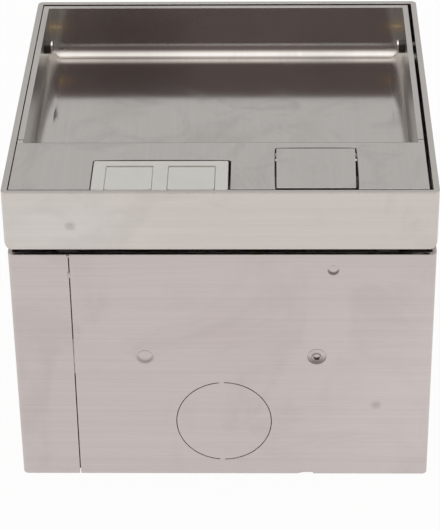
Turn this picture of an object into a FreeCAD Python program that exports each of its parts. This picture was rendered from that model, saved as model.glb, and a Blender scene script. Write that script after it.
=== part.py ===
import FreeCAD, Part
import math
import os

# Floor socket box in folded stainless steel, in millimetres.
# Origin: centre of the underside. +Z up, the cable outlets and the seam are on the -Y side.
# A deep box is cast into the floor, a collar levels with the finished floor, and a recessed lid
# that takes a piece of the flooring swings on two pins near its rear edge.

# ---- driving sizes ---------------------------------------------------------------------------

# collar
collar_side = 145.0
collar_wall = 2.0
collar_corner = 2.0
collar_bend = 2.8
collar_lip = 2.2

# box
box_inset = 0.42
box_wall = 1.5
box_height = 92.2
box_corner = 2.0
box_shift = 0.4
level_gap = 2.4
level_travel = 8.0

# seam of the wrapped wall, and its backing strap
seam_from_corner = 20.3
seam_width = 0.4
seam_top_tack = 0.8
seam_weld_height = 2.35
seam_weld_drop = 6.9
strap_width = 16.0
strap_sheet = 1.2
strap_gap = 1.0

# conduit knock-outs
knockout_diameter = 33.6
knockout_cut = 0.3
knockout_joint = 1.7
knockout_joint_shift = -0.7
knockout_height = 23.0

# small features of the front wall
pip_diameter = 4.4
pip_height = 0.4
pip_x = 37.5
pip_drop = 6.2
foot_nick_left = 25.9
foot_nick_width = 5.6
foot_nick_height = 0.6
foot_nick_slope = 2.2

# base pan
pan_sheet = 1.5
pan_flange = 11.5
pan_play = 0.05
pan_bend = 2.0
pan_relief = 4.0
pan_knockout_play = 0.8
floor_hole_from_side = 17.08
floor_hole_diameter = 5.5

# levelling screws, M4 x 20 countersunk
level_screw_diameter = 4.0
level_screw_length = 20.0
level_head_diameter = 7.8
level_screw_from_side = 10.0
level_tab_width = 20.0
level_tab_reach = 16.0
level_tab_bend = 1.8
box_tab_drop = 4.2
box_tab_leg = 14.0
box_tab_sheet = 1.5
clinch_nut_diameter = 7.9
clinch_nut_height = 3.2
clinch_shank_diameter = 5.4

# guide tongues of the collar
tongue_sheet = 1.2
tongue_width = 9.0
tongue_from_side = 11.0
tongue_rise = 5.0
tongue_lap = 9.0

# lid
lid_sheet = 2.0
lid_gap_left = 0.4
lid_gap_right = 1.3
lid_gap_front = 0.5
lid_gap_rear = 1.5
recess_depth = 19.5
tray_clearance = 0.3
strip_depth = 33.75
strip_bend = 1.0
tray_bend = 5.0
cheek_relief_width = 0.5
cheek_relief_depth = 2.5

# lid hinge
hinge_from_rear = 28.0
hinge_drop = 5.2
hinge_pin_diameter = 3.5
hinge_play = 0.05
hinge_head_diameter = 6.0
hinge_head_height = 1.0
bush_diameter = 5.0
bush_inside = 2.4
bush_outside = 0.2
clip_diameter = 4.8
clip_thickness = 0.7
clip_gap = 0.1
lid_stop_gap = 0.8

# front rests of the lid
rest_sheet = 1.5
rest_reach = 10.5
rest_leg = 12.0
rest_width = 16.0
rest_from_front = 4.5
buffer_diameter = 7.0
buffer_height = 1.8
buffer_gap = 0.2

# steel cord flap
flap_notch_left = 18.35
flap_notch_width = 27.55
flap_notch_depth = 27.74
flap_side_gap = 0.4
flap_rear_gap = 0.35
flap_front_gap = 1.3
flap_taper = 0.5
flap_hinge_from_rear = 6.8
flap_pin_diameter = 1.2
flap_pin_bite = 2.5
flap_pin_play = 0.05
flap_notch_corner = 0.6
flap_corner = 0.4
stop_sheet = 1.2
stop_reach = 1.6
stop_root = 1.5
stop_seat = 6.0
stop_width = 8.0
stop_from_front = 4.3

# white outlet insert, and its two doors
insert_notch_left = -43.2
insert_notch_width = 46.7
insert_notch_depth = 19.3
insert_notch_corner = 0.8
insert_gap_left = 0.4
insert_gap_right = 0.9
insert_rear_gap = 0.4
insert_front_gap = 0.1
insert_plate = 2.2
insert_body_depth = 10.0
insert_body_inset = 0.6
insert_body_front = 1.7
insert_wall = 1.5
insert_lug = 1.0
insert_lug_length = 8.0
insert_corner = 0.8
door_pitch = 20.92
door_side = 15.6
door_corner = 1.0
door_slot_corner = 0.4
door_gap = 0.12
door_rear_gap = 0.24
door_front_gap = 0.3
door_from_rear = 3.4
door_pin_diameter = 1.2
door_pin_bite = 0.7
door_pin_play = 0.05
door_pin_end_play = 0.1

# outlet bracket
bracket_sheet = 1.5
bracket_overhang = 11.3
bracket_window_play = 0.2
bracket_shelf_drop = 6.5
bracket_flange = 12.5
bracket_depth = 23.5

# rails that carry the module plate, and their rivets
rail_sheet = 1.5
rail_end_gap = 10.6
rail_leg = 16.0
rail_shelf = 14.0
rail_bottom = 41.0
rivet_rise = 9.7
rivet_pitch = 59.3
rivet_centre = 2.65
rivet_shank_diameter = 4.0
rivet_head_diameter = 5.3
rivet_collar_diameter = 6.5
rivet_bore_diameter = 2.5
rivet_bore_depth = 0.9
rivet_head_height = 0.4
rivet_tail_diameter = 6.0
rivet_tail_height = 1.0

# module plate, M4 x 6 pan-head screws
carrier_sheet = 1.5
carrier_side_gap = 4.6
carrier_lip = 9.0
carrier_end_gap = 0.5
carrier_slot_length = 30.0
carrier_slot_width = 12.0
carrier_slot_y = 40.0
pan_screw_from_rail_end = 10.0
pan_screw_from_end = 6.5
pan_screw_diameter = 4.0
pan_screw_length = 6.0
pan_head_diameter = 8.0
pan_head_height = 2.4
pan_head_round = 1.4
pan_slot_margin = 1.2
screw_slot_width = 1.0
screw_slot_depth = 1.0
screw_hole_play = 0.2

# 45 mm modules
module_pitch = 45.0
module_gap = 0.2
module_plate = 2.5
module_corner = 1.2
module_edge = 0.6
module_body = 41.8
module_hole_play = 0.3
well_diameter = 39.0
well_depth = 17.5
well_wall = 1.3
well_floor = 2.0
well_chamfer = 0.7
pin_pitch = 19.0
pin_hole_diameter = 5.2
nose_width = 4.6
nose_reach = 2.3
nose_drop = 2.5
socket_depth = 32.0
socket_wall = 1.3
socket_floor = 1.5
post_diameter = 5.4
post_place = 17.6
arm_width = 5.0
arm_inner = 9.2
arm_sheet = 1.2
arm_hook = 0.8
arm_rise = 1.0

# parts inside a socket
shutter_sheet = 1.4
shutter_play = 0.3
shutter_width = 8.0
shutter_travel = 5.6
shutter_end = 3.5
shutter_lap = 0.8
shutter_rail = 1.2
shutter_ledge = 1.8
shutter_ledge_lap = 0.7
shutter_hole_play = 0.1
sleeve_diameter = 6.6
sleeve_bore = 4.8
sleeve_slit = 0.8
sleeve_gap = 0.6
sleeve_floor = 1.0
contact_rise = 0.2
terminal_gap = 0.4
terminal_length = 6.5
terminal_width = 7.0
terminal_height = 8.0
terminal_screw_diameter = 4.0
terminal_screw_rise = 1.2
earth_strip = 0.8
earth_width = 6.0
earth_place = 18.4
earth_bulge = 1.5
earth_slot_play = 0.6
earth_bend = 0.6
earth_lead_in = 0.3
earth_bulge_from_tip = 4.5
earth_straight_from_tip = 11.25

# data module
data_width = 22.5
data_body = 19.6
data_depth = 24.0
jack_pitch = 21.0
jack_width = 14.8
jack_length = 15.5
jack_mouth_width = 11.8
jack_mouth_length = 7.0
jack_mouth_depth = 12.0
jack_latch_width = 6.2
jack_latch_length = 2.2
jack_gap = 0.1
dust_width = 15.4
dust_length = 12.4
dust_sheet = 1.4
dust_corner = 1.0
dust_gap = 0.2
dust_pin_diameter = 0.9

# divider and earth stud
divider_sheet = 1.2
divider_foot = 10.0
divider_top_gap = 3.4
divider_end_gap = 0.6
stud_diameter = 6.0
stud_height = 18.0
stud_from_side = 22.1
stud_from_rear = 27.1
stud_nut_flats = 10.0
stud_nut_height = 5.0
stud_washer_diameter = 12.0
stud_washer_height = 1.6

# inside radius of the small folded angles
small_bend = 0.5

# ---- levels and places worked out from them ---------------------------------------------------

collar_bottom = box_height + level_gap
tray_bottom = collar_bottom + tray_clearance
recess_floor = tray_bottom + lid_sheet
rim = recess_floor + recess_depth
collar_half = collar_side / 2
collar_inside = collar_half - collar_wall
box_half = collar_half - box_inset
box_inside = box_half - box_wall
box_tab_top = box_height - box_tab_drop
level_screw_x = collar_half - level_screw_from_side
tongue_x = collar_half - tongue_from_side
tongue_drop = level_travel + tongue_lap
floor_hole_place = box_half - floor_hole_from_side
stud_x = -box_half + stud_from_side
stud_y = box_half - stud_from_rear

lid_left = -collar_inside + lid_gap_left
lid_right = collar_inside - lid_gap_right
lid_front = -collar_inside + lid_gap_front
lid_rear = collar_inside - lid_gap_rear
strip_bottom = rim - lid_sheet
riser_inside = lid_front + strip_depth

hinge_y = collar_half - hinge_from_rear
hinge_z = rim - hinge_drop
stop_y = hinge_y - (hinge_z - tray_bottom) - lid_stop_gap

insert_left = insert_notch_left + insert_gap_left
insert_right = insert_notch_left + insert_notch_width - insert_gap_right
insert_centre = (insert_left + insert_right) / 2
insert_front = -collar_inside + insert_front_gap
insert_rear = lid_front + insert_notch_depth - insert_rear_gap
insert_bottom = rim - insert_plate
door_rear = insert_rear - door_from_rear
door_front = -collar_inside + door_front_gap
door_hinge_y = door_rear - insert_plate / 2
door_hinge_z = rim - insert_plate / 2
door_places = [insert_centre - door_pitch / 2, insert_centre + door_pitch / 2]

flap_hinge_y = lid_front + flap_notch_depth - flap_rear_gap - flap_hinge_from_rear
flap_hinge_z = rim - lid_sheet / 2

rail_half = box_inside - rail_end_gap
pan_screw_x = rail_half - pan_screw_from_rail_end
rivet_height = rail_bottom + rivet_rise
carrier_top = rail_bottom + rail_sheet + carrier_sheet
carrier_half = box_inside - carrier_side_gap
carrier_half_depth = box_inside - rail_sheet - carrier_end_gap
pan_screw_y = carrier_half_depth - pan_screw_from_end
module_top = carrier_top + module_plate
row_width = 2 * module_pitch + data_width
socket_places = [-row_width / 2 + module_pitch / 2, -row_width / 2 + 1.5 * module_pitch]
data_place = row_width / 2 - data_width / 2
socket_bottom = carrier_top - socket_depth
well_bottom = module_top - well_depth - well_floor
shutter_bottom = well_bottom - shutter_play - shutter_sheet
data_bottom = carrier_top - data_depth

# ---- shared ways of making a solid ------------------------------------------------------------


def block(x0, x1, y0, y1, z0, z1):
    return Part.makeBox(x1 - x0, y1 - y0, z1 - z0, FreeCAD.Vector(x0, y0, z0))


def rod(radius, start, direction, length):
    return Part.makeCylinder(radius, length, FreeCAD.Vector(*start), FreeCAD.Vector(*direction))


def in_plane(plane, a, b, level):
    """Point of a plane named by its two axes, at a level along the third."""
    places = {"xy": (a, b, level), "xz": (a, level, b), "yz": (level, a, b)}
    return FreeCAD.Vector(*places[plane])


def outline(corners, plane, level):
    """Closed wire through corners (a, b, radius), with a tangent arc where the radius is not 0."""
    entries = []
    for index, (a, b, radius) in enumerate(corners):
        here = FreeCAD.Vector(a, b, 0)
        before = FreeCAD.Vector(corners[index - 1][0], corners[index - 1][1], 0) - here
        after_corner = corners[(index + 1) % len(corners)]
        after = FreeCAD.Vector(after_corner[0], after_corner[1], 0) - here
        before.normalize()
        after.normalize()
        half = before.getAngle(after) / 2
        if radius <= 0:
            entries.append((here, here, here))
            continue
        reach = radius / math.tan(half)
        towards = (before + after).normalize()
        middle = here + towards * (radius / math.sin(half) - radius)
        entries.append((here + before * reach, middle, here + after * reach))
    edges = []
    for index, (start, middle, end) in enumerate(entries):
        if start.distanceToPoint(end) > 1e-6:
            points = [in_plane(plane, p.x, p.y, level) for p in (start, middle, end)]
            edges.append(Part.Arc(*points).toShape())
        following = entries[(index + 1) % len(entries)][0]
        if end.distanceToPoint(following) > 1e-6:
            points = [in_plane(plane, p.x, p.y, level) for p in (end, following)]
            edges.append(Part.makeLine(*points))
    return Part.Wire(Part.__sortEdges__(edges))


def prism(corners, plane, start, end):
    """Solid between two levels along the axis that the plane leaves out."""
    face = Part.Face(outline(corners, plane, start))
    return face.extrude(in_plane(plane, 0, 0, end - start))


def rounded_plate(x0, x1, y0, y1, radius, z0, z1):
    corners = [(x0, y0, radius), (x1, y0, radius), (x1, y1, radius), (x0, y1, radius)]
    return prism(corners, "xy", z0, z1)


def rounded_foot(x0, x1, y0, y1, low, high, radius):
    """Block whose lower edges are rounded and meet at a mitre on its upright corners."""
    across = prism([(x0, low, radius), (x1, low, radius), (x1, high, 0), (x0, high, 0)], "xz", y0, y1)
    along = prism([(y0, low, radius), (y1, low, radius), (y1, high, 0), (y0, high, 0)], "yz", x0, x1)
    return across.common(along)


def folded(path, sheet, inside_radii, plane, start, end):
    """Folded sheet: the path is one face of it, and the sheet lies to the right of the path."""
    points = [FreeCAD.Vector(a, b, 0) for a, b in path]
    runs = [(points[i + 1] - points[i]).normalize() for i in range(len(points) - 1)]
    rights = [FreeCAD.Vector(run.y, -run.x, 0) for run in runs]
    near = [(points[0].x, points[0].y, 0)]
    first = points[0] + rights[0] * sheet
    far = [(first.x, first.y, 0)]
    for i, inside in enumerate(inside_radii):
        corner = points[i + 1]
        turn = runs[i].x * runs[i + 1].y - runs[i].y * runs[i + 1].x
        between = rights[i].getAngle(rights[i + 1]) / 2
        mitre = (rights[i] + rights[i + 1]).normalize() * (sheet / math.cos(between))
        near_radius = inside if turn > 0 else inside + sheet
        far_radius = inside + sheet if turn > 0 else inside
        near.append((corner.x, corner.y, near_radius))
        far.append((corner.x + mitre.x, corner.y + mitre.y, far_radius))
    last = points[-1] + rights[-1] * sheet
    near.append((points[-1].x, points[-1].y, 0))
    far.append((last.x, last.y, 0))
    return prism(near + far[::-1], plane, start, end)


def fused(solids):
    return solids[0].multiFuse(solids[1:]).removeSplitter()


def dome(radius, height, start, direction):
    """Low round cap on a flat base at the start, as on a rivet."""
    ball = (radius * radius + height * height) / (2 * height)
    axis = FreeCAD.Vector(*direction)
    base = FreeCAD.Vector(*start)
    ball_centre = base - axis * (ball - height)
    return Part.makeSphere(ball, ball_centre).common(rod(radius, start, direction, height))


def mirrored_x(shape):
    return shape.mirror(FreeCAD.Vector(0, 0, 0), FreeCAD.Vector(1, 0, 0))


def mirrored_y(shape):
    return shape.mirror(FreeCAD.Vector(0, 0, 0), FreeCAD.Vector(0, 1, 0))


def shifted(shape, x=0.0, y=0.0, z=0.0):
    moved = shape.copy()
    moved.translate(FreeCAD.Vector(x, y, z))
    return moved


def in_box(shape):
    """The box stands a little off centre under the collar, and all that it holds goes with it."""
    return shifted(shape, x=box_shift)


def edges_where(shape, test):
    chosen = []
    for edge in shape.Edges:
        middle = edge.valueAt((edge.FirstParameter + edge.LastParameter) / 2)
        if test(edge, middle):
            chosen.append(edge)
    return chosen


def top_edges(shape, level):
    return edges_where(shape, lambda edge, p: abs(edge.BoundBox.ZMin - level) < 1e-4)


def hexagon(flats, centre, height):
    radius = flats / math.sqrt(3)
    x, y, z = centre
    corners = []
    for k in range(6):
        angle = math.radians(60 * k)
        corners.append((x + radius * math.cos(angle), y + radius * math.sin(angle), 0))
    return prism(corners, "xy", z, z + height)


# ---- box --------------------------------------------------------------------------------------


def knockout_cut_ring():
    """Two thin arcs cut through a wall lying in the XZ plane, joined at the top and the bottom."""
    radius = knockout_diameter / 2
    start = (0, -box_wall, 0)
    ring = rod(radius, start, (0, 1, 0), 3 * box_wall)
    ring = ring.cut(rod(radius - knockout_cut, start, (0, 1, 0), 3 * box_wall))
    joint_left = knockout_joint_shift - knockout_joint / 2
    joints = block(joint_left, joint_left + knockout_joint, -2 * box_wall, 3 * box_wall,
                   -radius - 1, radius + 1)
    return ring.cut(joints)


def make_box_shell():
    shell = rounded_plate(-box_half, box_half, -box_half, box_half, box_corner, 0, box_height)
    inner_corner = box_corner - box_wall
    shell = shell.cut(rounded_plate(-box_inside, box_inside, -box_inside, box_inside, inner_corner,
                                    -1, box_height + 1))
    seam_x = -box_half + seam_from_corner
    weld_top = box_height - seam_weld_drop
    for low, high in ((-1, weld_top - seam_weld_height), (weld_top, box_height - seam_top_tack)):
        shell = shell.cut(block(seam_x, seam_x + seam_width, -box_half - 1, -box_inside + 1, low, high))
    for turn in range(4):
        ring = shifted(knockout_cut_ring(), y=-box_half, z=knockout_height)
        ring.rotate(FreeCAD.Vector(0, 0, 0), FreeCAD.Vector(0, 0, 1), 90 * turn)
        shell = shell.cut(ring)
    pip_z = box_height - pip_drop
    shell = shell.fuse(dome(pip_diameter / 2, pip_height, (pip_x, -box_half, pip_z), (0, -1, 0)))
    shell = shell.cut(dome(pip_diameter / 2, pip_height, (pip_x, -box_inside, pip_z), (0, -1, 0)))
    nick_right = foot_nick_left + foot_nick_width
    nick = [(foot_nick_left, -1, 0), (foot_nick_left, 0, 0),
            (foot_nick_left + foot_nick_slope, foot_nick_height, 0),
            (nick_right, foot_nick_height, 0), (nick_right, -1, 0)]
    shell = shell.cut(prism(nick, "xz", -box_half - 1, -box_inside + 1))
    for side, x in rivet_sites():
        hole = rod(rivet_shank_diameter / 2, (x, side * (box_half + 1), rivet_height),
                   (0, -side, 0), box_wall + 2)
        shell = shell.cut(hole)
    return in_box(shell)


def make_seam_strap():
    """Flat strap behind the butt joint of the wrapped wall, in two lengths, below and above the rail."""
    middle = -box_half + seam_from_corner + seam_width / 2
    lengths = [(pan_flange + strap_gap, rail_bottom - strap_gap),
               (rail_bottom + rail_leg + strap_gap, collar_bottom - tongue_drop - strap_gap)]
    straps = [block(middle - strap_width / 2, middle + strap_width / 2, -box_inside,
                    -box_inside + strap_sheet, low, high) for low, high in lengths]
    return in_box(Part.makeCompound(straps))


def make_base_pan():
    """Folded pan pressed into the foot of the wall, its flanges cut back behind the knock-outs."""
    half = box_inside - pan_play
    pan = block(-half, half, -half, half, 0, pan_flange)
    pan = pan.makeFillet(pan_bend, edges_where(pan, lambda edge, p: abs(p.z) < 1e-6))
    inner = half - pan_sheet
    hollow = block(-inner, inner, -inner, inner, pan_sheet, pan_flange + 1)
    foot = edges_where(hollow, lambda edge, p: abs(p.z - pan_sheet) < 1e-6)
    pan = pan.cut(hollow.makeFillet(pan_bend - pan_sheet, foot))
    clearance = knockout_diameter / 2 + pan_knockout_play
    for axis in ((1, 0, 0), (0, 1, 0)):
        start = (-axis[0] * box_half, -axis[1] * box_half, knockout_height)
        pan = pan.cut(rod(clearance, start, axis, 2 * box_half))
    for sx in (-1, 1):
        for sy in (-1, 1):
            x = sorted((sx * half, sx * (half - pan_relief)))
            y = sorted((sy * half, sy * (half - pan_relief)))
            pan = pan.cut(block(x[0], x[1], y[0], y[1], -1, pan_flange + 1))
            hole = rod(floor_hole_diameter / 2, (sx * floor_hole_place, sy * floor_hole_place, -1),
                       (0, 0, 1), pan_sheet + 2)
            pan = pan.cut(hole)
    pan = pan.cut(rod(stud_diameter / 2, (stud_x, stud_y, -1), (0, 0, 1), pan_sheet + 2))
    return in_box(pan)


# ---- levelling of the collar --------------------------------------------------------------------


def make_box_tabs():
    """Two angles inside the side walls that carry the nuts of the levelling screws."""
    top = box_tab_top
    path = [(-box_inside, top - box_tab_leg), (-box_inside, top), (-box_inside + level_tab_reach, top)]
    tab = folded(path, box_tab_sheet, [small_bend], "xz", -level_tab_width / 2, level_tab_width / 2)
    tab = tab.cut(rod(clinch_shank_diameter / 2, (-level_screw_x, 0, top - 2 * box_tab_sheet),
                      (0, 0, 1), 4 * box_tab_sheet))
    return in_box(Part.makeCompound([tab, mirrored_x(tab)]))


def clinch_nut(x, y, face, sheet, bore_radius):
    """Nut pressed into a sheet from below: a round body under it and a shank in its hole."""
    foot = (x, y, face - sheet - clinch_nut_height)
    nut = rod(clinch_nut_diameter / 2, foot, (0, 0, 1), clinch_nut_height)
    nut = nut.fuse(rod(clinch_shank_diameter / 2, foot, (0, 0, 1), clinch_nut_height + sheet))
    nut = nut.cut(rod(bore_radius, (x, y, face - sheet - clinch_nut_height - 1), (0, 0, 1),
                      clinch_nut_height + sheet + 2))
    return nut.removeSplitter()


def make_level_nuts():
    bore = level_screw_diameter / 2 + hinge_play
    nuts = [clinch_nut(side * level_screw_x, 0, box_tab_top, box_tab_sheet, bore) for side in (-1, 1)]
    return in_box(Part.makeCompound(nuts))


def countersink(x, top, radius_top, radius_shank, below):
    """Cone with its shank, as the hole and as the screw that fills it."""
    depth = radius_top - radius_shank
    cone = Part.makeCone(radius_shank, radius_top, depth, FreeCAD.Vector(x, 0, top - depth))
    return cone.fuse(rod(radius_shank, (x, 0, top - below), (0, 0, 1), below - depth)).removeSplitter()


def make_level_screws():
    screws = []
    for side in (-1, 1):
        x = side * level_screw_x
        screw = countersink(x, collar_bottom, level_head_diameter / 2, level_screw_diameter / 2,
                            level_screw_length)
        slot = block(x - level_head_diameter, x + level_head_diameter, -screw_slot_width / 2,
                     screw_slot_width / 2, collar_bottom - screw_slot_depth, collar_bottom + 1)
        screws.append(screw.cut(slot))
    return in_box(Part.makeCompound(screws))


# ---- collar -----------------------------------------------------------------------------------


def level_tab():
    """Side tab bent in under the lid: it takes a levelling screw, and its rear end stops the lid."""
    low = collar_bottom - collar_wall
    inner = -collar_half + level_tab_reach + collar_wall
    front = -level_tab_width / 2
    tab = block(-collar_half, inner, front, stop_y, low, collar_bottom)
    wall = block(-collar_half, -collar_inside, front, stop_y, low, collar_bottom + collar_bend)
    tab = tab.fuse(wall).removeSplitter()
    bend = edges_where(tab, lambda edge, p: abs(p.x + collar_half) < 1e-6 and abs(p.z - low) < 1e-6)
    return tab.makeFillet(level_tab_bend, bend)


def make_collar():
    """Strip folded into a square: the side walls roll in at the bottom, front and rear are cut straight."""
    ring = rounded_plate(-collar_half, collar_half, -collar_half, collar_half, collar_corner,
                         collar_bottom, rim)
    rolled = [(-collar_half, collar_bottom, collar_bend), (collar_half, collar_bottom, collar_bend),
              (collar_half, rim, 0), (-collar_half, rim, 0)]
    ring = ring.common(prism(rolled, "xz", -collar_half, collar_half))
    lip_inside = collar_half - collar_lip
    lip_top = collar_bottom + collar_wall
    ring = ring.cut(block(-lip_inside, lip_inside, -lip_inside, lip_inside, collar_bottom - 1, rim + 1))
    ring = ring.cut(block(-collar_inside, collar_inside, -collar_inside, collar_inside, lip_top, rim + 1))
    tab = level_tab()
    ring = fused([ring, tab, mirrored_x(tab)])
    for side in (-1, 1):
        x = box_shift + side * level_screw_x
        ring = ring.cut(countersink(x, collar_bottom, level_head_diameter / 2, level_screw_diameter / 2,
                                    collar_wall + 1))
        head = rod(hinge_head_diameter / 2, (side * collar_half, hinge_y, hinge_z), (-side, 0, 0),
                   hinge_head_height)
        shank = rod(hinge_pin_diameter / 2, (side * collar_half, hinge_y, hinge_z), (-side, 0, 0),
                    collar_wall + 1)
        ring = ring.cut(head).cut(shank)
    return ring


def make_guide_tongues():
    """Two tongues on the lip of the rear wall that slide inside the box."""
    back = collar_half - collar_lip
    tongue = block(-tongue_x - tongue_width / 2, -tongue_x + tongue_width / 2, back - tongue_sheet, back,
                   collar_bottom - tongue_drop, collar_bottom + tongue_rise)
    return Part.makeCompound([tongue, mirrored_x(tongue)])


def make_hinge_pins():
    pins = []
    for side in (-1, 1):
        wall = lid_left if side < 0 else lid_right
        inner_end = wall - side * (lid_sheet + bush_inside + clip_gap + clip_thickness)
        length = abs(side * collar_half - inner_end)
        pin = rod(hinge_pin_diameter / 2, (side * collar_half, hinge_y, hinge_z), (-side, 0, 0), length)
        head = rod(hinge_head_diameter / 2, (side * collar_half, hinge_y, hinge_z), (-side, 0, 0),
                   hinge_head_height)
        pins.append(pin.fuse(head).removeSplitter())
    return Part.makeCompound(pins)


def make_hinge_clips():
    """Push-on rings that keep the pins from being drawn out of the bushes."""
    clips = []
    for side in (-1, 1):
        wall = lid_left if side < 0 else lid_right
        start = wall - side * (lid_sheet + bush_inside + clip_gap)
        clip = rod(clip_diameter / 2, (start, hinge_y, hinge_z), (-side, 0, 0), clip_thickness)
        bore = rod(hinge_pin_diameter / 2, (start + side, hinge_y, hinge_z), (-side, 0, 0),
                   clip_thickness + 2)
        clips.append(clip.cut(bore))
    return Part.makeCompound(clips)


def make_lid_rests():
    """Angles welded inside the front corners, under the lid's strip."""
    top = strip_bottom - buffer_gap - buffer_height
    path = [(-collar_inside, top - rest_leg), (-collar_inside, top), (-collar_inside + rest_reach, top)]
    front = -collar_inside + rest_from_front
    rest = folded(path, rest_sheet, [small_bend], "xz", front, front + rest_width)
    return Part.makeCompound([rest, mirrored_x(rest)])


def make_lid_buffers():
    buffers = []
    for side in (-1, 1):
        x = side * (collar_inside - rest_reach / 2 - rest_sheet / 2)
        y = -collar_inside + rest_from_front + rest_width / 2
        buffer = rod(buffer_diameter / 2, (x, y, strip_bottom - buffer_gap - buffer_height),
                     (0, 0, 1), buffer_height)
        buffers.append(buffer)
    return Part.makeCompound(buffers)


# ---- lid --------------------------------------------------------------------------------------


def hinge_rod(radius, x0, x1):
    return rod(radius, (x0, hinge_y, hinge_z), (1, 0, 0), x1 - x0)


def make_lid_tray():
    """Sheet folded into strip, riser, floor, cheeks and rear wall, with its upright corners welded."""
    front, outer_bend = riser_inside - lid_sheet, tray_bend + lid_sheet
    tray = rounded_foot(lid_left, lid_right, front, lid_rear, tray_bottom, rim, outer_bend)
    tray = tray.cut(rounded_foot(lid_left + lid_sheet, lid_right - lid_sheet, riser_inside,
                                 lid_rear - lid_sheet, recess_floor, rim + 1, tray_bend))
    tray = tray.cut(block(lid_left + lid_sheet, lid_right - lid_sheet, front - 1, riser_inside,
                          rim - strip_bend - lid_sheet, rim + 1))
    path = [(lid_front, rim), (riser_inside, rim), (riser_inside, recess_floor + tray_bend)]
    tray = fused([tray, folded(path, lid_sheet, [strip_bend], "yz", lid_left, lid_right)])
    for x0, x1 in ((lid_left - 1, lid_left + lid_sheet), (lid_right - lid_sheet, lid_right + 1)):
        tray = tray.cut(block(x0, x1, riser_inside - cheek_relief_width / 2,
                              riser_inside + cheek_relief_width / 2, rim - cheek_relief_depth, rim + 1))
    insert_notch = rounded_plate(insert_notch_left, insert_notch_left + insert_notch_width,
                                 lid_front - 5, lid_front + insert_notch_depth, insert_notch_corner,
                                 strip_bottom - 1, rim + 1)
    flap_notch = rounded_plate(flap_notch_left, flap_notch_left + flap_notch_width,
                               lid_front - 5, lid_front + flap_notch_depth, flap_notch_corner,
                               strip_bottom - 1, rim + 1)
    tray = tray.cut(insert_notch).cut(flap_notch)
    tray = tray.cut(hinge_rod(bush_diameter / 2, lid_left - 1, lid_left + lid_sheet + 1))
    tray = tray.cut(hinge_rod(bush_diameter / 2, lid_right - lid_sheet - 1, lid_right + 1))
    pin_radius = flap_pin_diameter / 2 + flap_pin_play
    reach = flap_pin_bite + 2 * flap_pin_play
    for x0 in (flap_notch_left - reach, flap_notch_left + flap_notch_width - 1):
        tray = tray.cut(rod(pin_radius, (x0, flap_hinge_y, flap_hinge_z), (1, 0, 0), reach + 1))
    return tray


def make_lid_bushes():
    """Plastic sleeves pressed into the cheeks, which turn on the hinge pins."""
    bore = hinge_pin_diameter / 2 + hinge_play
    bushes = []
    for outer, side in ((lid_left, -1), (lid_right, 1)):
        ends = sorted((outer + side * bush_outside, outer - side * (lid_sheet + bush_inside)))
        bush = hinge_rod(bush_diameter / 2, ends[0], ends[1])
        bushes.append(bush.cut(hinge_rod(bore, ends[0] - 1, ends[1] + 1)))
    return Part.makeCompound(bushes)


def make_flap_stops():
    """Two small plates welded under the strip, on which the closed flap lies."""
    top = strip_bottom - buffer_gap
    front = lid_front + stop_from_front
    stops = []
    for edge, side in ((flap_notch_left, -1), (flap_notch_left + flap_notch_width, 1)):
        tip, root, end = edge - side * stop_reach, edge + side * stop_root, edge + side * stop_seat
        ledge = sorted((tip, root))
        seat = sorted((root, end))
        stops.append(fused([block(ledge[0], ledge[1], front, front + stop_width, top - stop_sheet, top),
                            block(seat[0], seat[1], front, front + stop_width, top - stop_sheet,
                                  strip_bottom)]))
    return Part.makeCompound(stops)


def flap_sides():
    left = flap_notch_left + flap_side_gap
    right = flap_notch_left + flap_notch_width - flap_side_gap
    return left, right


def make_cord_flap():
    left, right = flap_sides()
    front = -collar_inside + flap_front_gap
    rear = lid_front + flap_notch_depth - flap_rear_gap
    corners = [(left, front, flap_corner), (right - flap_taper, front, flap_corner),
               (right, rear, flap_corner), (left, rear, flap_corner)]
    flap = prism(corners, "xy", strip_bottom, rim)
    for x0 in (left - 1, right - flap_pin_bite):
        flap = flap.cut(rod(flap_pin_diameter / 2, (x0, flap_hinge_y, flap_hinge_z), (1, 0, 0),
                            flap_pin_bite + 1))
    return flap


def make_flap_pins():
    left, right = flap_sides()
    inside = flap_pin_bite
    outside = flap_side_gap + flap_pin_bite
    pins = [rod(flap_pin_diameter / 2, (left - outside, flap_hinge_y, flap_hinge_z), (1, 0, 0),
                outside + inside - 1),
            rod(flap_pin_diameter / 2, (right - inside, flap_hinge_y, flap_hinge_z), (1, 0, 0),
                outside + inside)]
    return Part.makeCompound(pins)


# ---- white outlet insert ------------------------------------------------------------------------


def make_outlet_bracket():
    """Angle spot-welded behind the front wall of the collar; the insert snaps into its shelf."""
    top = rim - bracket_shelf_drop
    front = -collar_inside
    path = [(front, top - bracket_flange), (front, top), (front + bracket_depth, top)]
    bracket = folded(path, bracket_sheet, [small_bend], "yz", insert_left - bracket_overhang,
                     insert_right + bracket_overhang)
    x0, x1, y0, y1 = insert_body_sides()
    play = bracket_window_play
    return bracket.cut(block(x0 - play, x1 + play, y0 - play, y1 + play, 0, rim))


def insert_body_sides():
    return (insert_left + insert_body_inset, insert_right - insert_body_inset,
            insert_front + insert_body_front, insert_rear - insert_body_inset)


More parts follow.
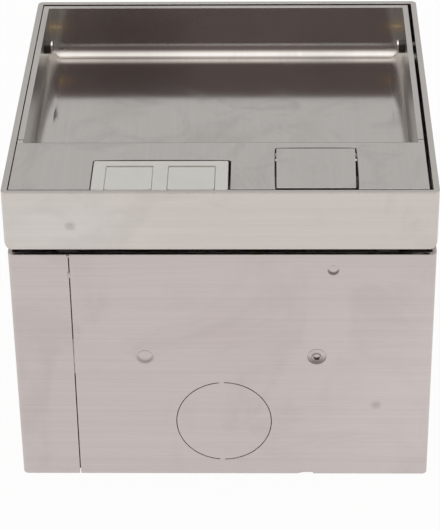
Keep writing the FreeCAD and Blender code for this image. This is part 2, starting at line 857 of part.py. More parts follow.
def make_outlet_insert():
    insert = rounded_plate(insert_left, insert_right, insert_front, insert_rear, insert_corner,
                           insert_bottom, rim)
    x0, x1, y0, y1 = insert_body_sides()
    body = block(x0, x1, y0, y1, insert_bottom - insert_body_depth, insert_bottom)
    insert = insert.fuse(body)
    lug_top = rim - bracket_shelf_drop - bracket_sheet - buffer_gap
    lug_start = (y0 + y1 - insert_lug_length) / 2
    for x, side in ((x0, -1), (x1, 1)):
        lug = [(x, lug_top, 0), (x + side * insert_lug, lug_top, 0), (x, lug_top - 2 * insert_lug, 0)]
        insert = insert.fuse(prism(lug, "xz", lug_start, lug_start + insert_lug_length))
    reach = door_side / 2 + door_gap
    pin_reach = reach + door_pin_bite + door_pin_end_play
    pin_radius = door_pin_diameter / 2 + door_pin_play
    for x in door_places:
        slot = rounded_plate(x - reach, x + reach, -collar_side, door_rear + door_rear_gap,
                             door_slot_corner, insert_bottom - door_gap, rim + 1)
        way = block(x - reach, x + reach, y0 + insert_wall, door_rear + door_rear_gap,
                    insert_bottom - insert_body_depth - 1, insert_bottom)
        bore = rod(pin_radius, (x - pin_reach, door_hinge_y, door_hinge_z), (1, 0, 0), 2 * pin_reach)
        insert = insert.cut(slot).cut(way).cut(bore)
    web = door_pitch - 2 * reach - 2 * insert_wall
    core = block(insert_centre - web / 2, insert_centre + web / 2, y0 + insert_wall, y1 - insert_wall,
                 insert_bottom - insert_body_depth - 1, insert_bottom - insert_wall)
    return insert.cut(core).removeSplitter()


def hinged_plate(x, width, front, rear, sheet, top, corner, pin_diameter, pin_reach, flip=False):
    """Small plate whose rear edge is a barrel about its hinge, with a trunnion at each side."""
    radius = sheet / 2
    hinge = rear - radius
    half = width / 2
    barrel = rod(radius, (x - half, hinge, top - radius), (1, 0, 0), width)
    plate = block(x - half, x + half, front, hinge, top - sheet, top).fuse(barrel)
    plate = plate.common(rounded_plate(x - half, x + half, front, rear, corner, top - sheet - 1, top + 1))
    trunnion = rod(pin_diameter / 2, (x - half - pin_reach, hinge, top - radius), (1, 0, 0),
                   width + 2 * pin_reach)
    plate = plate.fuse(trunnion).removeSplitter()
    return mirrored_y(plate) if flip else plate


def make_outlet_door(x):
    return hinged_plate(x, door_side, door_front, door_rear, insert_plate, rim, door_corner,
                        door_pin_diameter, door_gap + door_pin_bite)


# ---- rails and module plate -------------------------------------------------------------------


def rivet_sites():
    sites = []
    for side in (-1, 1):
        for place in (-1, 1):
            sites.append((side, rivet_centre + place * rivet_pitch / 2))
    return sites


def make_rail():
    top = rail_bottom + rail_sheet
    path = [(-box_inside + rail_sheet, top + rail_leg - rail_sheet), (-box_inside + rail_sheet, top),
            (-box_inside + rail_shelf, top)]
    rail = folded(path, rail_sheet, [small_bend], "yz", -rail_half, rail_half)
    for side, x in rivet_sites():
        if side < 0:
            rail = rail.cut(rod(rivet_shank_diameter / 2, (x, -box_half, rivet_height), (0, 1, 0),
                                box_wall + rail_sheet + 1))
    for x in (-pan_screw_x, pan_screw_x):
        rail = rail.cut(rod(clinch_shank_diameter / 2, (x, -pan_screw_y, rail_bottom - 1), (0, 0, 1),
                            rail_sheet + 2))
    return rail


def make_rail_rivets():
    """Low round heads outside, set tails inside; the right front one is a blind rivet with its stem end."""
    rivets = []
    for side, x in rivet_sites():
        outer, inward = side * box_half, (0, -side, 0)
        blind = side < 0 and x > 0
        head = rivet_collar_diameter if blind else rivet_head_diameter
        rivet = dome(head / 2, rivet_head_height, (x, outer, rivet_height), (0, side, 0))
        rivet = rivet.fuse(rod(rivet_shank_diameter / 2, (x, outer, rivet_height), inward,
                               box_wall + rail_sheet))
        tail = outer - side * (box_wall + rail_sheet)
        rivet = rivet.fuse(rod(rivet_tail_diameter / 2, (x, tail, rivet_height), inward,
                               rivet_tail_height))
        if blind:
            top = outer + side * rivet_head_height
            rivet = rivet.cut(rod(rivet_bore_diameter / 2, (x, top, rivet_height), inward,
                                  rivet_bore_depth))
        rivets.append(rivet.removeSplitter())
    return in_box(Part.makeCompound(rivets))


def make_rail_nuts():
    bore = pan_screw_diameter / 2
    nuts = []
    for sx in (-1, 1):
        for sy in (-1, 1):
            nuts.append(clinch_nut(sx * pan_screw_x, sy * pan_screw_y, rail_bottom + rail_sheet,
                                   rail_sheet, bore))
    return in_box(Part.makeCompound(nuts))


def make_pan_screws():
    screws = []
    for sx in (-1, 1):
        for sy in (-1, 1):
            x, y = sx * pan_screw_x, sy * pan_screw_y
            head_top = carrier_top + pan_head_height
            head = rod(pan_head_diameter / 2, (x, y, carrier_top), (0, 0, 1), pan_head_height)
            head = head.makeFillet(pan_head_round, top_edges(head, head_top))
            reach = pan_head_diameter / 2 - pan_slot_margin
            for turn in (0, 1):
                slot = block(-reach, reach, -screw_slot_width / 2, screw_slot_width / 2,
                             head_top - screw_slot_depth, head_top + 1)
                slot.rotate(FreeCAD.Vector(0, 0, 0), FreeCAD.Vector(0, 0, 1), 90 * turn)
                head = head.cut(shifted(slot, x=x, y=y))
            shank = rod(pan_screw_diameter / 2, (x, y, carrier_top - pan_screw_length), (0, 0, 1),
                        pan_screw_length)
            screws.append(head.fuse(shank))
    return in_box(Part.makeCompound(screws))


def make_module_carrier():
    """Plate with turned-down sides, laid on the rails, with one opening for each module."""
    path = [(-carrier_half, carrier_top - carrier_lip), (-carrier_half, carrier_top),
            (carrier_half, carrier_top), (carrier_half, carrier_top - carrier_lip)]
    carrier = folded(path, carrier_sheet, [small_bend, small_bend], "xz",
                     -carrier_half_depth, carrier_half_depth)
    opening = module_body / 2 + module_hole_play
    for x in socket_places:
        carrier = carrier.cut(block(x - opening, x + opening, -opening, opening, 0, rim))
    data_opening = data_body / 2 + module_hole_play
    carrier = carrier.cut(block(data_place - data_opening, data_place + data_opening,
                                -opening, opening, 0, rim))
    slot = rounded_plate(-carrier_slot_length / 2, carrier_slot_length / 2, -carrier_slot_width / 2,
                         carrier_slot_width / 2, carrier_slot_width / 2, 0, rim)
    for side in (-1, 1):
        carrier = carrier.cut(shifted(slot, y=side * carrier_slot_y))
        for x in (-pan_screw_x, pan_screw_x):
            hole = rod(pan_screw_diameter / 2 + screw_hole_play, (x, side * pan_screw_y, 0), (0, 0, 1), rim)
            carrier = carrier.cut(hole)
    return in_box(carrier)


# ---- socket outlets -----------------------------------------------------------------------------


def module_face(x, width):
    half_x = width / 2 - module_gap / 2
    half_y = module_pitch / 2 - module_gap / 2
    plate = rounded_plate(x - half_x, x + half_x, -half_y, half_y, module_corner, carrier_top, module_top)
    return plate.makeChamfer(module_edge, top_edges(plate, module_top))


def make_socket_cover(x):
    """Face plate with the round plug well, its pin holes, earth slots and two guide noses."""
    radius = well_diameter / 2
    cover = module_face(x, module_pitch)
    cover = cover.fuse(rod(radius + well_wall, (x, 0, well_bottom), (0, 0, 1), carrier_top - well_bottom))
    well = rod(radius, (x, 0, well_bottom + well_floor), (0, 0, 1), well_depth + 1)
    for side in (-1, 1):
        nose = block(-nose_reach, nose_reach, -nose_width / 2, nose_width / 2,
                     well_bottom, module_top - nose_drop)
        well = well.cut(shifted(nose, x=x + side * radius))
    cover = cover.cut(well)
    mouth = edges_where(cover, lambda edge, p: abs(p.z - module_top) < 1e-4
                        and abs(math.hypot(p.x - x, p.y) - radius) < 1e-3)
    cover = cover.makeChamfer(well_chamfer, mouth)
    slot_half = earth_width / 2 + earth_slot_play
    for side in (-1, 1):
        hole = rod(pin_hole_diameter / 2, (x + side * pin_pitch / 2, 0, 0), (0, 0, 1), module_top)
        inner, outer = earth_place - earth_strip - earth_slot_play, earth_place + earth_slot_play
        y0, y1 = sorted((side * inner, side * outer))
        slot = block(x - slot_half, x + slot_half, y0, y1, 0, well_bottom + well_floor + earth_slot_play)
        cover = cover.cut(hole).cut(slot)
    return in_box(cover.removeSplitter())


def make_socket_base(x):
    """Open housing under the well: terminal chamber, corner posts, snap arms and shutter track."""
    half = module_body / 2
    inner = half - socket_wall
    base = block(-half, half, -half, half, socket_bottom, well_bottom)
    base = base.cut(block(-inner, inner, -inner, inner, socket_bottom + socket_floor, well_bottom + 1))
    parts = [base]
    hook_top = carrier_top - carrier_sheet - buffer_gap
    for sx in (-1, 1):
        for sy in (-1, 1):
            parts.append(rod(post_diameter / 2, (sx * post_place, sy * post_place, socket_bottom),
                             (0, 0, 1), carrier_top - socket_bottom))
            near, far = sorted((sx * arm_inner, sx * (arm_inner + arm_width)))
            foot = socket_bottom + arm_rise
            arm = [(sy * (half - arm_sheet), foot, 0), (sy * (half - arm_sheet), hook_top, 0),
                   (sy * (half + arm_hook), hook_top, 0), (sy * half, hook_top - 2 * arm_hook, 0),
                   (sy * half, foot, 0)]
            parts.append(prism(arm, "yz", near, far))
    track = shutter_width / 2 + shutter_play
    shelf_top = shutter_bottom - shutter_play / 2
    for side in (-1, 1):
        y0, y1 = sorted((side * (track - shutter_ledge_lap), side * (track + shutter_rail)))
        parts.append(block(-inner, inner, y0, y1, shelf_top - shutter_ledge, shelf_top))
        y0, y1 = sorted((side * track, side * (track + shutter_rail)))
        parts.append(block(-inner, inner, y0, y1, shelf_top - shutter_ledge, well_bottom))
    return in_box(shifted(fused(parts), x=x))


def make_socket_shutter(x):
    """Plate that hides both pin holes until it slides aside by its travel."""
    left = -pin_pitch / 2 - shutter_travel - shutter_end
    right = pin_pitch / 2 + pin_hole_diameter / 2 + shutter_lap
    shutter = block(left, right, -shutter_width / 2, shutter_width / 2, shutter_bottom,
                    shutter_bottom + shutter_sheet)
    for side in (-1, 1):
        centre = side * pin_pitch / 2 - shutter_travel
        shutter = shutter.cut(rod(pin_hole_diameter / 2 + shutter_hole_play,
                                  (centre, 0, shutter_bottom - 1), (0, 0, 1), shutter_sheet + 2))
    return in_box(shifted(shutter, x=x))


def make_socket_contacts(x):
    """Two slit sleeves for the plug pins, each on its screw terminal."""
    low = socket_bottom + socket_floor + contact_rise
    top = shutter_bottom - sleeve_gap
    outer = module_body / 2 - socket_wall - terminal_gap
    contacts = []
    for side in (-1, 1):
        centre = side * pin_pitch / 2
        sleeve = rod(sleeve_diameter / 2, (centre, 0, low), (0, 0, 1), top - low)
        x0, x1 = sorted((side * outer, side * (outer - terminal_length)))
        terminal = block(x0, x1, -terminal_width / 2, terminal_width / 2, low, low + terminal_height)
        contact = sleeve.fuse(terminal)
        contact = contact.cut(rod(sleeve_bore / 2, (centre, 0, low + sleeve_floor), (0, 0, 1), top))
        slit = block(centre - sleeve_slit / 2, centre + sleeve_slit / 2, -sleeve_diameter, sleeve_diameter,
                     low + terminal_height, top + 1)
        contact = contact.cut(slit)
        screw = rod(terminal_screw_diameter / 2, ((x0 + x1) / 2, 0, low + terminal_height), (0, 0, 1),
                    terminal_screw_rise)
        contacts.append(contact.fuse(screw).removeSplitter())
    return in_box(shifted(Part.makeCompound(contacts), x=x))


def make_socket_earth(x):
    """One strip bent into a U: a leg stands in each earth slot and bulges into the plug well."""
    bottom = socket_bottom + socket_floor
    top = module_top - nose_drop
    leg = [(earth_place - earth_lead_in, top), (earth_place - earth_bulge, top - earth_bulge_from_tip),
           (earth_place, top - earth_straight_from_tip), (earth_place, bottom)]
    path = leg + [(-y, z) for y, z in leg[::-1]]
    radii = [earth_bend] * (len(path) - 2)
    strip = folded(path, earth_strip, radii, "yz", -earth_width / 2, earth_width / 2)
    return in_box(shifted(strip, x=x))


# ---- data module --------------------------------------------------------------------------------


def jack_places():
    return [-jack_pitch / 2, jack_pitch / 2]


def make_data_cover():
    cover = module_face(data_place, data_width)
    seat = module_top - dust_sheet - dust_gap
    reach = dust_width / 2 + dust_gap
    pin_radius = dust_pin_diameter / 2 + door_pin_play
    for y in jack_places():
        half = dust_length / 2 + dust_gap
        cover = cover.cut(rounded_plate(data_place - reach, data_place + reach, y - half, y + half,
                                        door_slot_corner, seat, module_top + 1))
        barrel_y = math.copysign(abs(y) + (dust_length - dust_sheet) / 2, y)
        cover = cover.cut(rod(pin_radius, (data_place - reach - door_pin_bite, barrel_y,
                                           module_top - dust_sheet / 2), (1, 0, 0),
                              2 * (reach + door_pin_bite)))
        mouth = block(data_place - jack_mouth_width / 2, data_place + jack_mouth_width / 2,
                      y - jack_mouth_length / 2, y + jack_mouth_length / 2, 0, module_top)
        cover = cover.cut(mouth)
    return in_box(cover)


def make_data_flap(y):
    flap = hinged_plate(data_place, dust_width, abs(y) - dust_length / 2, abs(y) + dust_length / 2,
                        dust_sheet, module_top, dust_corner, dust_pin_diameter,
                        dust_gap + door_pin_bite - door_pin_end_play, flip=y < 0)
    return in_box(flap)


def make_data_base():
    half_x = data_body / 2
    half_y = module_body / 2
    wall = socket_wall
    base = block(-half_x, half_x, -half_y, half_y, data_bottom, carrier_top)
    base = base.cut(block(-half_x + wall, half_x - wall, -half_y + wall, half_y - wall,
                          data_bottom + socket_floor, carrier_top + 1))
    parts = [base]
    hook_top = carrier_top - carrier_sheet - buffer_gap
    for sy in (-1, 1):
        hook = [(sy * half_y, hook_top, 0), (sy * (half_y + arm_hook), hook_top, 0),
                (sy * half_y, hook_top - 2 * arm_hook, 0)]
        parts.append(prism(hook, "yz", -arm_width / 2, arm_width / 2))
    return in_box(shifted(fused(parts), x=data_place))


def make_data_jacks():
    """Two jack bodies with stepped mouths that face up, seated on the floor of the base."""
    top = carrier_top - jack_gap
    low = data_bottom + socket_floor
    jacks = []
    for y in jack_places():
        jack = block(-jack_width / 2, jack_width / 2, y - jack_length / 2, y + jack_length / 2, low, top)
        mouth = block(-jack_mouth_width / 2, jack_mouth_width / 2, y - jack_mouth_length / 2,
                      y + jack_mouth_length / 2, top - jack_mouth_depth, top + 1)
        side = math.copysign(1, y)
        near, far = jack_mouth_length / 2, jack_mouth_length / 2 + jack_latch_length
        y0, y1 = sorted((y + side * near, y + side * far))
        latch = block(-jack_latch_width / 2, jack_latch_width / 2, y0, y1, top - jack_mouth_depth, top + 1)
        jacks.append(jack.cut(mouth).cut(latch))
    return in_box(shifted(Part.makeCompound(jacks), x=data_place))


# ---- divider and earth stud ---------------------------------------------------------------------


def make_divider():
    """Web between the mains and the data side of the wiring space, on a spot-welded foot."""
    x = (socket_places[1] + module_body / 2 + data_place - data_body / 2) / 2 - divider_sheet / 2
    end = box_inside - pan_play - pan_sheet - divider_end_gap
    path = [(x, rail_bottom - divider_top_gap), (x, pan_sheet), (x + divider_foot, pan_sheet)]
    divider = folded(path[::-1], divider_sheet, [small_bend], "xz", -end, end)
    return in_box(divider)


def make_earth_stud():
    return in_box(rod(stud_diameter / 2, (stud_x, stud_y, 0), (0, 0, 1), stud_height))


def make_earth_nuts():
    """Two nuts, each on its washer, one on the pan and one free for the earth wire."""
    parts = []
    level = pan_sheet
    for _ in range(2):
        centre = (stud_x, stud_y, level)
        washer = rod(stud_washer_diameter / 2, centre, (0, 0, 1), stud_washer_height)
        nut = hexagon(stud_nut_flats, (stud_x, stud_y, level + stud_washer_height), stud_nut_height)
        bore = rod(stud_diameter / 2, (stud_x, stud_y, 0), (0, 0, 1), stud_height + 5)
        parts.append(washer.cut(bore))
        parts.append(nut.cut(bore))
        level += stud_washer_height + stud_nut_height
    return in_box(Part.makeCompound(parts))


# ---- all pieces -----------------------------------------------------------------------------------

front_rail = make_rail()

pieces = {
    "box_shell": make_box_shell(),
    "seam_strap": make_seam_strap(),
    "base_pan": make_base_pan(),
    "box_tabs": make_box_tabs(),
    "level_nuts": make_level_nuts(),
    "front_rail": in_box(front_rail),
    "rear_rail": in_box(mirrored_y(front_rail)),
    "rail_rivets": make_rail_rivets(),
    "rail_nuts": make_rail_nuts(),
    "pan_head_screws": make_pan_screws(),
    "module_carrier": make_module_carrier(),
    "data_cover": make_data_cover(),
    "data_base": make_data_base(),
    "data_jacks": make_data_jacks(),
    "divider": make_divider(),
    "earth_stud": make_earth_stud(),
    "earth_nuts": make_earth_nuts(),
    "collar": make_collar(),
    "guide_tongues": make_guide_tongues(),
    "level_screws": make_level_screws(),
    "hinge_pins": make_hinge_pins(),
    "hinge_clips": make_hinge_clips(),
    "lid_rests": make_lid_rests(),
    "lid_buffers": make_lid_buffers(),
    "outlet_bracket": make_outlet_bracket(),
    "outlet_insert": make_outlet_insert(),
    "lid_tray": make_lid_tray(),
    "lid_bushes": make_lid_bushes(),
    "flap_stops": make_flap_stops(),
    "cord_flap": make_cord_flap(),
    "flap_pins": make_flap_pins(),
}

for name, place in zip(("left", "right"), door_places):
    pieces["outlet_door_" + name] = make_outlet_door(place)

for name, place in zip(("left", "right"), socket_places):
    pieces["socket_cover_" + name] = make_socket_cover(place)
    pieces["socket_base_" + name] = make_socket_base(place)
    pieces["socket_shutter_" + name] = make_socket_shutter(place)
    pieces["socket_contacts_" + name] = make_socket_contacts(place)
    pieces["socket_earth_" + name] = make_socket_earth(place)

for name, place in zip(("front", "rear"), jack_places()):
    pieces["data_flap_" + name] = make_data_flap(place)

os.makedirs("parts", exist_ok=True)
for node, shape in pieces.items():
    shape.exportStep("parts/" + node + ".step")
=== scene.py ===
import math

import bmesh
import bpy
from mathutils import Matrix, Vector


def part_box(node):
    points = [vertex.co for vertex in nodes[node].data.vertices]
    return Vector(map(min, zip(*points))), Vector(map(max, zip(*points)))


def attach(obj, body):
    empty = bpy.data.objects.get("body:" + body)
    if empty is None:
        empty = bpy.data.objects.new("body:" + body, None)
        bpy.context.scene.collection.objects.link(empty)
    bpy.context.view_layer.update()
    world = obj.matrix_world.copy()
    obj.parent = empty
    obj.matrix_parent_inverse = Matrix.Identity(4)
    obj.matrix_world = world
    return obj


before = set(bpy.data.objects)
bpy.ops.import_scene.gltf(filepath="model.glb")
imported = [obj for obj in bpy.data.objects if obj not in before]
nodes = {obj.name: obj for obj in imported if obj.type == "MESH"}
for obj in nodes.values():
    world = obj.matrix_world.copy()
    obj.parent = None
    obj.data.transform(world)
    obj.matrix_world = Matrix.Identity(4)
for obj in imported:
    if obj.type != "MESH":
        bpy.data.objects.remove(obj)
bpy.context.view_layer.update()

# ---- Box ---------------------------------------------------------------------------------------
# One strip of 1.5 mm stainless sheet, brushed along its length, folded round four corners and
# closed by a butt seam near the front left one. A pip is pressed near the top of the front, and
# a spot of weld heat shows at its lower right. Shade is painted along the underside of the pip
# and of each rivet, with a broad patch of painted shade high in the middle of the front and one
# of painted light low at its right.


def add(tree, kind, settings=None, values=None):
    """Add a node. A value that is a socket is linked, and any other is set."""
    node = tree.nodes.new(kind)
    for key, value in (settings or {}).items():
        setattr(node, key, value)
    for key, value in (values or {}).items():
        if isinstance(value, bpy.types.NodeSocket):
            tree.links.new(value, node.inputs[key])
        else:
            node.inputs[key].default_value = value
    return node


def maths(tree, operation, *terms):
    node = add(tree, "ShaderNodeMath", {"operation": operation}, dict(enumerate(terms)))
    return node.outputs[0]


def vector_maths(tree, operation, *terms):
    """A vector operation. A length or a dot product gives a number."""
    node = add(tree, "ShaderNodeVectorMath", {"operation": operation}, dict(enumerate(terms)))
    return node.outputs["Value" if operation in ("LENGTH", "DOT_PRODUCT") else "Vector"]


def scaled(tree, vector, factor):
    node = add(tree, "ShaderNodeVectorMath", {"operation": "SCALE"}, {0: vector, "Scale": factor})
    return node.outputs["Vector"]


def ease(tree, value, low, high, start=0.0, end=1.0):
    """A smooth step of value, from start at low to end at high."""
    node = add(tree, "ShaderNodeMapRange", {"interpolation_type": "SMOOTHSTEP"},
               {"Value": value, "From Min": low, "From Max": high, "To Min": start, "To Max": end})
    return node.outputs[0]


def mix_colour(tree, share, first, second, blend="MIX"):
    """Two colours mixed. The node takes colours at its sockets 6 and 7 and gives one at 2."""
    node = add(tree, "ShaderNodeMix", {"data_type": "RGBA", "blend_type": blend},
               {0: share, 6: first, 7: second})
    return node.outputs[2]


def object_point(tree):
    return add(tree, "ShaderNodeTexCoord").outputs["Object"]


def noise(tree, vector, **values):
    """A smooth random tone about a half."""
    return add(tree, "ShaderNodeTexNoise", None, {"Vector": vector, **values}).outputs["Fac"]


def relief(tree, strength, distance, height, normal):
    node = add(tree, "ShaderNodeBump", None, {"Strength": strength, "Distance": distance,
                                              "Height": height, "Normal": normal})
    return node.outputs["Normal"]


def edge_wear_and_highlight(tree, radius, flat, gain):
    """The normal rounded over the edges, and how much paler the edges are made, which is partly
    wear and partly painted highlight. This starts where the rounded and the true normal agree
    less than flat, and is full where they agree by edge_full."""
    edge_full = 0.86
    softened = add(tree, "ShaderNodeBevel", {"samples": 6}, {"Radius": radius}).outputs[0]
    facing = add(tree, "ShaderNodeNewGeometry").outputs["Normal"]
    agree = vector_maths(tree, "DOT_PRODUCT", softened, facing)
    return softened, maths(tree, "MULTIPLY", ease(tree, agree, flat, edge_full), gain)


def new_group(name, inputs, outputs):
    """A shader group with named sockets, its input values given with their names."""
    group = bpy.data.node_groups.new(name, "ShaderNodeTree")
    for label, value in inputs.items():
        kind = "Float" if isinstance(value, float) else ("Color" if len(value) == 4 else "Vector")
        socket = group.interface.new_socket(label, in_out="INPUT", socket_type="NodeSocket" + kind)
        socket.default_value = value
    for label, kind in outputs.items():
        group.interface.new_socket(label, in_out="OUTPUT", socket_type="NodeSocket" + kind)
    given = group.nodes.new("NodeGroupInput").outputs
    result = group.nodes.new("NodeGroupOutput").inputs
    return group, given, result


def new_material(name, **constants):
    """A material and its shader, with the constants set on the shader's own sockets."""
    material = bpy.data.materials.new(name)
    material.use_nodes = True
    shader = material.node_tree.nodes["Principled BSDF"]
    for label, value in constants.items():
        shader.inputs[label.replace("_", " ")].default_value = value
    return material, material.node_tree, shader


def surface(tree, group, colour, **values):
    """What a surface group gives in a material. An underscore in a name stands for a space."""
    given = {label.replace("_", " "): value for label, value in values.items()}
    given["Colour"] = (*colour, 1)
    return add(tree, "ShaderNodeGroup", {"node_tree": group}, given).outputs


def mask(tree, group, values):
    return add(tree, "ShaderNodeGroup", {"node_tree": group}, values).outputs["Mask"]


def feed(tree, shader, colour, roughness, normal):
    tree.links.new(colour, shader.inputs["Base Color"])
    tree.links.new(roughness, shader.inputs["Roughness"])
    tree.links.new(normal, shader.inputs["Normal"])


def dress(material, *names):
    for name in names:
        for slot in nodes[name].material_slots:
            slot.material = material


def build_brushed_sheet():
    """Sheet metal drawn over an abrasive belt: fine streaks, broad bands, handling smudges and
    edges made paler, partly by wear and partly as painted highlight. Lay is how many streaks there
    are in a metre along each axis."""
    bands_per_streak = 0.09
    band_share = 0.7
    smudge_start, smudge_full = 0.46, 0.68
    smudge_dullness = 0.5
    edge_flat = 0.995
    streak_height = 0.0001
    tree, given, result = new_group(
        "brushed_sheet",
        {"Colour": (0.6, 0.6, 0.6, 1), "Lay": (30.0, 30.0, 3000.0), "Contrast": 0.05,
         "Roughness": 0.2, "Depth": 0.1, "Smudge": 0.1, "Smudge Scale": 30.0,
         "Edge Radius": 0.0005, "Edge Gain": 0.3},
        {"Colour": "Color", "Roughness": "Float", "Normal": "Vector"})
    spot = object_point(tree)
    along = vector_maths(tree, "MULTIPLY", spot, given["Lay"])
    streaks = noise(tree, along, Scale=1.0, Detail=3.0, Roughness=0.65)
    bands = noise(tree, scaled(tree, along, bands_per_streak), Scale=1.0, Detail=2.0)
    clouds = noise(tree, spot, Scale=given["Smudge Scale"], Detail=5.0, Roughness=0.62,
                   Distortion=1.4)
    smudge = maths(tree, "MULTIPLY", ease(tree, clouds, smudge_start, smudge_full),
                   given["Smudge"])
    swing = maths(tree, "MULTIPLY_ADD", streaks, 2.0, -1.0)
    drift = maths(tree, "MULTIPLY_ADD", bands, 2.0, -1.0)
    both = maths(tree, "MULTIPLY_ADD", drift, band_share, swing)
    shade = maths(tree, "MULTIPLY_ADD", both, given["Contrast"], 1.0)
    unmarked = maths(tree, "SUBTRACT", 1.0, smudge)
    softened, edge = edge_wear_and_highlight(tree, given["Edge Radius"], edge_flat, given["Edge Gain"])
    toned = scaled(tree, given["Colour"], maths(tree, "MULTIPLY", shade, unmarked))
    tree.links.new(scaled(tree, toned, maths(tree, "ADD", 1.0, edge)), result["Colour"])
    rough = maths(tree, "MULTIPLY", given["Roughness"], shade)
    tree.links.new(maths(tree, "MULTIPLY_ADD", smudge, smudge_dullness, rough),
                   result["Roughness"])
    tree.links.new(relief(tree, given["Depth"], streak_height, streaks, softened),
                   result["Normal"])
    return tree


def build_round_mark():
    """A round or oval spot at a given place: 1 inside, falling to 0 at its radius."""
    tree, given, result = new_group(
        "round_mark",
        {"Centre": (0.0, 0.0, 0.0), "Radius": (0.002, 0.002, 0.002), "Softness": 0.4},
        {"Mask": "Float"})
    away = vector_maths(tree, "SUBTRACT", object_point(tree), given["Centre"])
    reach = vector_maths(tree, "LENGTH", vector_maths(tree, "DIVIDE", away, given["Radius"]))
    inner = maths(tree, "SUBTRACT", 1.0, given["Softness"])
    tree.links.new(ease(tree, reach, 1.0, inner), result["Mask"])
    return tree


def build_rim_shade():
    """A crescent of painted shade on one side of a raised round head. Lift moves the unshaded
    middle away from that side."""
    tree, given, result = new_group(
        "rim_shade",
        {"Centre": (0.0, 0.0, 0.0), "Radius": 0.002, "Lift": (0.0, 0.0, 0.0006), "Softness": 0.3},
        {"Mask": "Float"})
    spread = add(tree, "ShaderNodeCombineXYZ", None, {axis: given["Radius"] for axis in "XYZ"})
    raised = vector_maths(tree, "ADD", given["Centre"], given["Lift"])
    whole_disc, unmarked = (mask(tree, round_mark, {"Centre": centre, "Radius": spread.outputs[0],
                                            "Softness": given["Softness"]})
                    for centre in (given["Centre"], raised))
    left = maths(tree, "SUBTRACT", whole_disc, unmarked)
    tree.links.new(maths(tree, "MAXIMUM", left, 0.0), result["Mask"])
    return tree


brushed_sheet = build_brushed_sheet()
round_mark = build_round_mark()
rim_shade = build_rim_shade()


def stain(centre, reach, softness, tint):
    """A round or oval mark. The metal's colour is multiplied by the tint there."""
    return round_mark, {"Centre": centre, "Radius": reach, "Softness": softness}, tint


def shade_crescent(centre, radius, lift, softness, tint):
    """A crescent of painted shade along the lower edge of a round head, or along its upper edge
    if lift is negative.
    """
    values = {"Centre": centre, "Radius": radius, "Lift": (0, 0, lift), "Softness": softness}
    return rim_shade, values, tint


def sheet_metal(name, colour, marks=(), **values):
    """Brushed metal with its marks, each a mask group, its values and a tint."""
    material, tree, metal = new_material(name, Metallic=1.0)
    sheet = surface(tree, brushed_sheet, colour, **values)
    shown = sheet["Colour"]
    for group, place, tint in marks:
        tinted = mix_colour(tree, 1.0, shown, (*tint, 1), "MULTIPLY")
        shown = mix_colour(tree, mask(tree, group, place), shown, tinted)
    feed(tree, metal, shown, sheet["Roughness"], sheet["Normal"])
    return material


box_low, box_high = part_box("box_shell")
rivets_low, rivets_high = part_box("rail_rivets")
front = box_low[1]
rivet_height = (rivets_low[2] + rivets_high[2]) / 2
rivet_tail_radius = 0.0030
rivet_collar_radius = 0.0033
left_rivet = (rivets_low[0] + rivet_tail_radius, front, rivet_height)
right_rivet = (rivets_high[0] - rivet_collar_radius, front, rivet_height)
pip_across = 0.0379
pip_drop = 0.0062
pip = (pip_across, front, box_high[2] - pip_drop)
wall_spot = (0.0536, front, 0.0302)
weld_spot_reach = (0.0026, 0.0026, 0.0024)
# Broad tone patches: painted shade high in the middle of the front, painted light low at its right.
painted_shade_patch = (0.0, front, 0.062)
painted_light_patch = (0.068, front, 0.030)
box_tone = (0.557, 0.522, 0.519)
# The pip's crescent is painted shade along its underside.
box_marks = [
    shade_crescent(pip, radius=0.0023, lift=0.0014, softness=0.35, tint=(0.30, 0.28, 0.27)),
    stain(wall_spot, weld_spot_reach, softness=0.8, tint=(0.80, 0.80, 0.80)),
    stain(painted_shade_patch, reach=(0.022, 0.01, 0.03), softness=1.0, tint=(0.985, 0.965, 0.965)),
    stain(painted_light_patch, reach=(0.060, 0.02, 0.075), softness=1.0, tint=(1.07, 1.06, 1.06)),
]
# Painted shade on the wall along the underside of each rivet's head.
for rivet in (left_rivet, right_rivet):
    box_marks.append(shade_crescent(rivet, radius=0.0038, lift=0.0016, softness=0.5,
                              tint=(0.68, 0.65, 0.64)))
box_steel = sheet_metal("box_steel", box_tone, box_marks, Lay=(22, 22, 2600), Contrast=0.075,
                        Roughness=0.24, Depth=0.05, Smudge=0.05, Smudge_Scale=24.0,
                        Edge_Radius=0.0004, Edge_Gain=0.22)
dress(box_steel, "box_shell")

# ---- Seam tacks --------------------------------------------------------------------------------
# The butt seam is held by short runs of weld at the top and just under it, ground almost flush.
# Each is a low bead with the ripples of the weld pool across it.

seam_at = -0.0514
bead_runs = ((0.0841, 0.0013), (0.0916, 0.0005))
bead_half_width = 0.0005
bead_half_depth = 0.00018
bead_sink = 0.00012
ripple_share = 0.10
ripple_rate = 9.0


def make_seam_tacks():
    """One bead for each run, given by its height on the wall and its half length. A unit ball
    gets the ripples first and is then flattened."""
    shape = bmesh.new()
    for height, half_length in bead_runs:
        made = bmesh.ops.create_uvsphere(shape, u_segments=16, v_segments=14, radius=1.0)
        bead = made["verts"]
        for vert in bead:
            ripple = 1.0 + ripple_share * math.cos(ripple_rate * vert.co.z)
            vert.co.x *= ripple
            vert.co.y *= ripple
        bmesh.ops.scale(shape, verts=bead, vec=(bead_half_width, bead_half_depth, half_length))
        bmesh.ops.translate(shape, verts=bead, vec=(seam_at, front + bead_sink, height))
    bmesh.ops.recalc_face_normals(shape, faces=shape.faces)
    for face in shape.faces:
        face.smooth = True
    mesh = bpy.data.meshes.new("seam_tacks")
    shape.to_mesh(mesh)
    shape.free()
    piece = bpy.data.objects.new("seam_tacks", mesh)
    bpy.context.scene.collection.objects.link(piece)
    return piece


